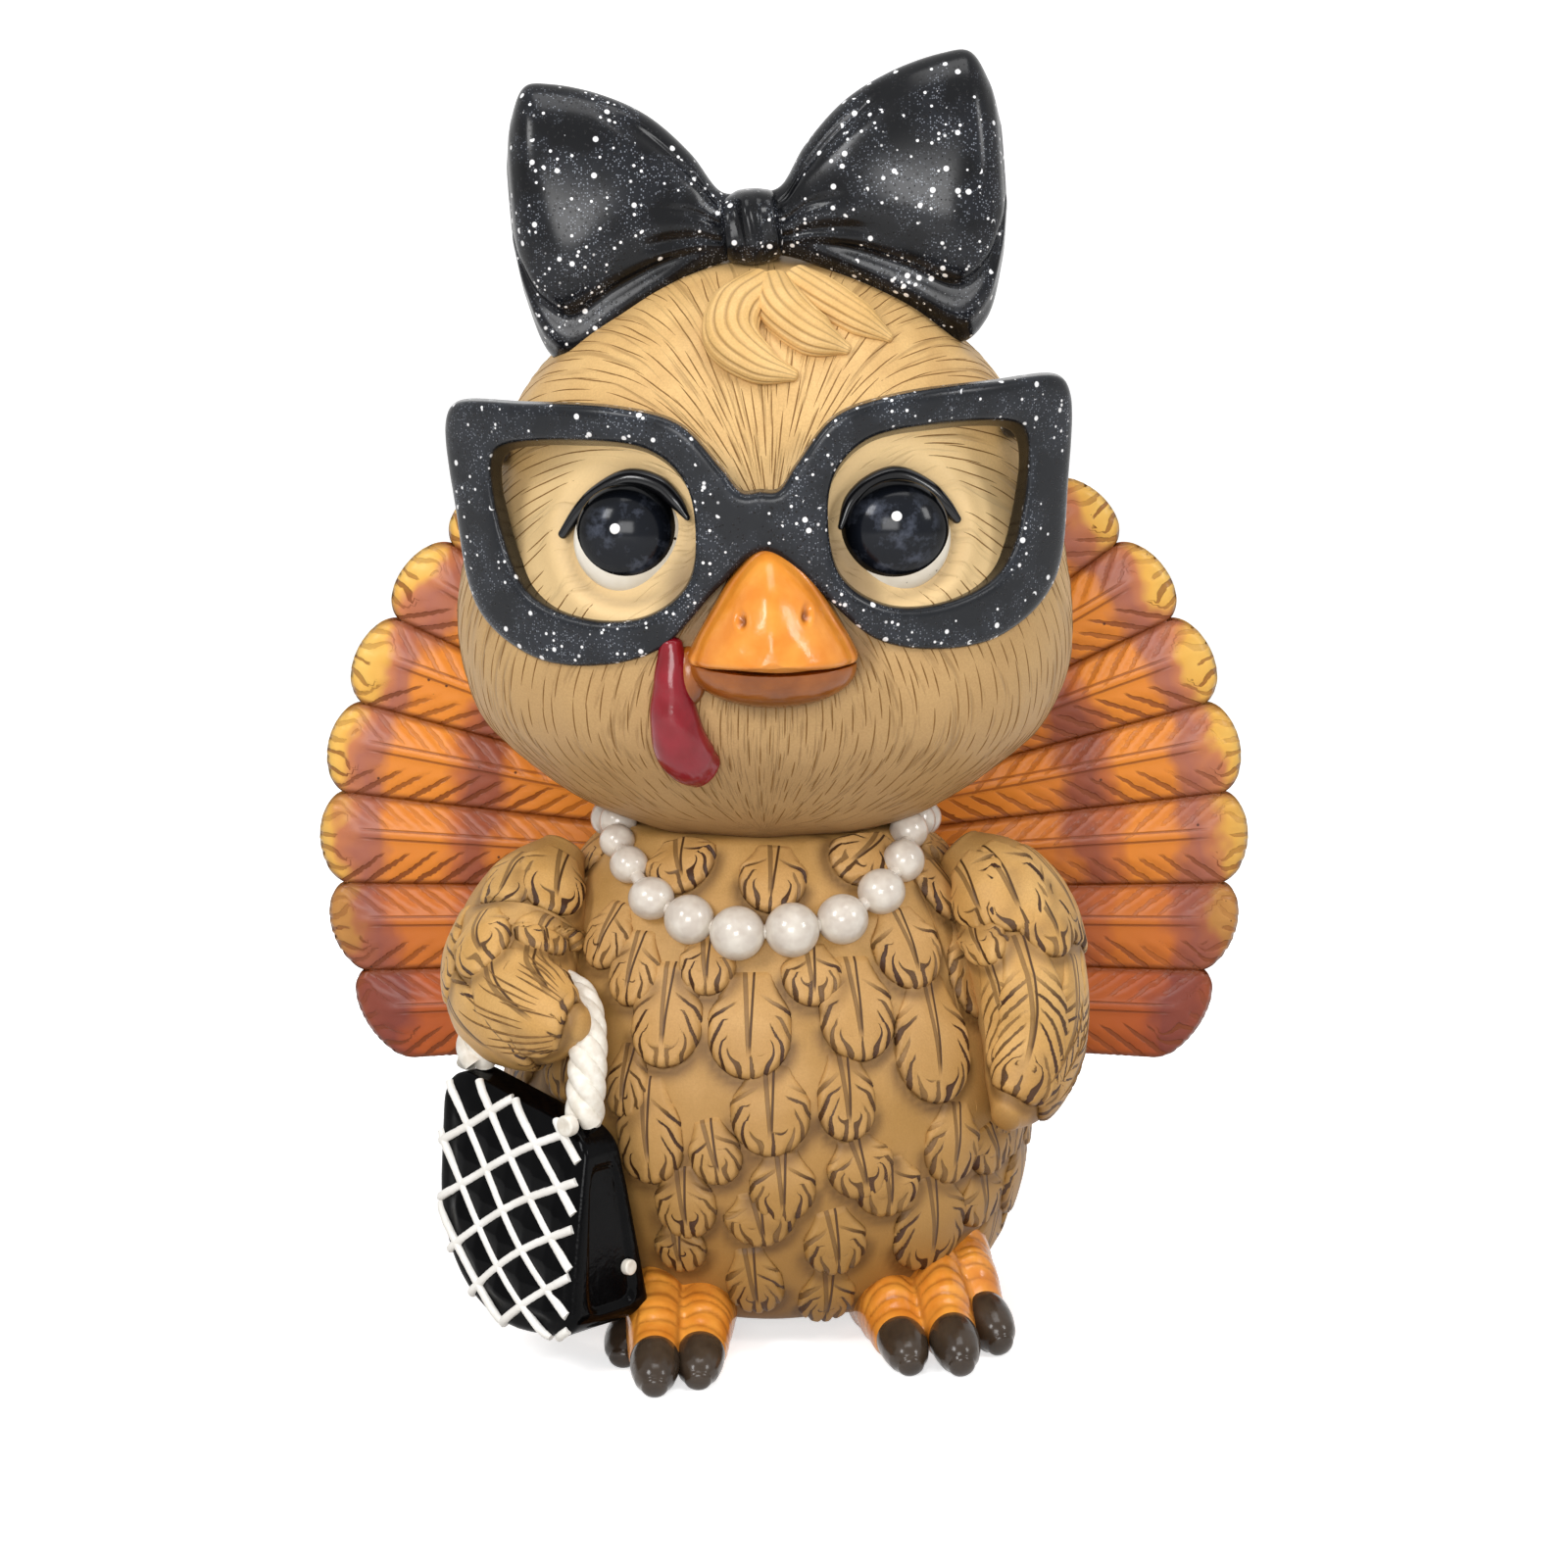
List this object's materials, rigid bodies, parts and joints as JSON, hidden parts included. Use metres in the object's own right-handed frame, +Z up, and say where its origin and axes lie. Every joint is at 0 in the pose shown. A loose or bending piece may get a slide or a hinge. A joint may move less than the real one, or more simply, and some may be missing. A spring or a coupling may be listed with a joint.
{
  "type": "turkey figurine",
  "caption": "Cast-resin turkey figurine with a fanned tail, hair bow, cat-eye glasses and pearl strand, holding a quilted purse on one wing and standing on clawed feet",
  "frame": {"origin": "on the ground under the middle of the figurine's bounding box, midway between the tips of the tail fan", "axes": "+Z up, +Y towards the tail so that the face looks along -Y, +X to the viewer's right when the figurine is seen from the front"},
  "size_m": [0.1942, 0.1334, 0.2445],
  "materials": {
    "tan_resin": "painted resin with a brown wash, satin",
    "black_glitter": "black paint with silver glitter",
    "eye_black": "gloss",
    "eye_white": "satin paint",
    "beak_orange": "gloss",
    "snood_red": "satin gloss",
    "pearl": "pearlescent",
    "purse_black": "gloss",
    "rope_white": "off-white paint with a grey wash",
    "foot_orange": "satin gloss with a brown wash",
    "claw_brown": "gloss",
    "feather_orange": "airbrushed paint, satin"
  },
  "bodies": {
    "root": {"beak_lower": "beak_orange", "beak_upper": "beak_orange", "bow_knot": "black_glitter", "bow_loop_left": "black_glitter", "bow_loop_right": "black_glitter", "claw_left_inner": "claw_brown", "claw_left_middle": "claw_brown", "claw_left_outer": "claw_brown", "claw_right_inner": "claw_brown", "claw_right_middle": "claw_brown", "claw_right_outer": "claw_brown", "eye_white_left": "eye_white", "eye_white_right": "eye_white", "eyeball_left": "eye_black", "eyeball_right": "eye_black", "eyelash_left": "eye_black", "eyelash_right": "eye_black", "foot_left": "foot_orange", "foot_right": "foot_orange", "glasses_frame": "black_glitter", "hair_lock_left": "tan_resin", "hair_lock_middle": "tan_resin", "hair_lock_right": "tan_resin", "handle_stud": "rope_white", "head": "tan_resin", "pearl_strand": "pearl", "purse_body": "purse_black", "purse_handle": "rope_white", "purse_snap": "rope_white", "snood": "snood_red", "tail_feather_01": "feather_orange", "tail_feather_02": "feather_orange", "tail_feather_03": "feather_orange", "tail_feather_04": "feather_orange", "tail_feather_05": "feather_orange", "tail_feather_06": "feather_orange", "tail_feather_07": "feather_orange", "tail_feather_08": "feather_orange", "tail_feather_09": "feather_orange", "tail_feather_10": "feather_orange", "tail_feather_11": "feather_orange", "tail_feather_12": "feather_orange", "tail_feather_13": "feather_orange", "tail_feather_14": "feather_orange", "tail_feather_15": "feather_orange", "tail_feather_16": "feather_orange", "tail_feather_17": "feather_orange", "tail_feather_18": "feather_orange", "tail_feather_19": "feather_orange", "tail_feather_20": "feather_orange", "tail_root": "tan_resin", "temple_left": "black_glitter", "temple_right": "black_glitter", "torso": "tan_resin", "wing_left": "tan_resin", "wing_right": "tan_resin"}
  },
  "joints": []
}
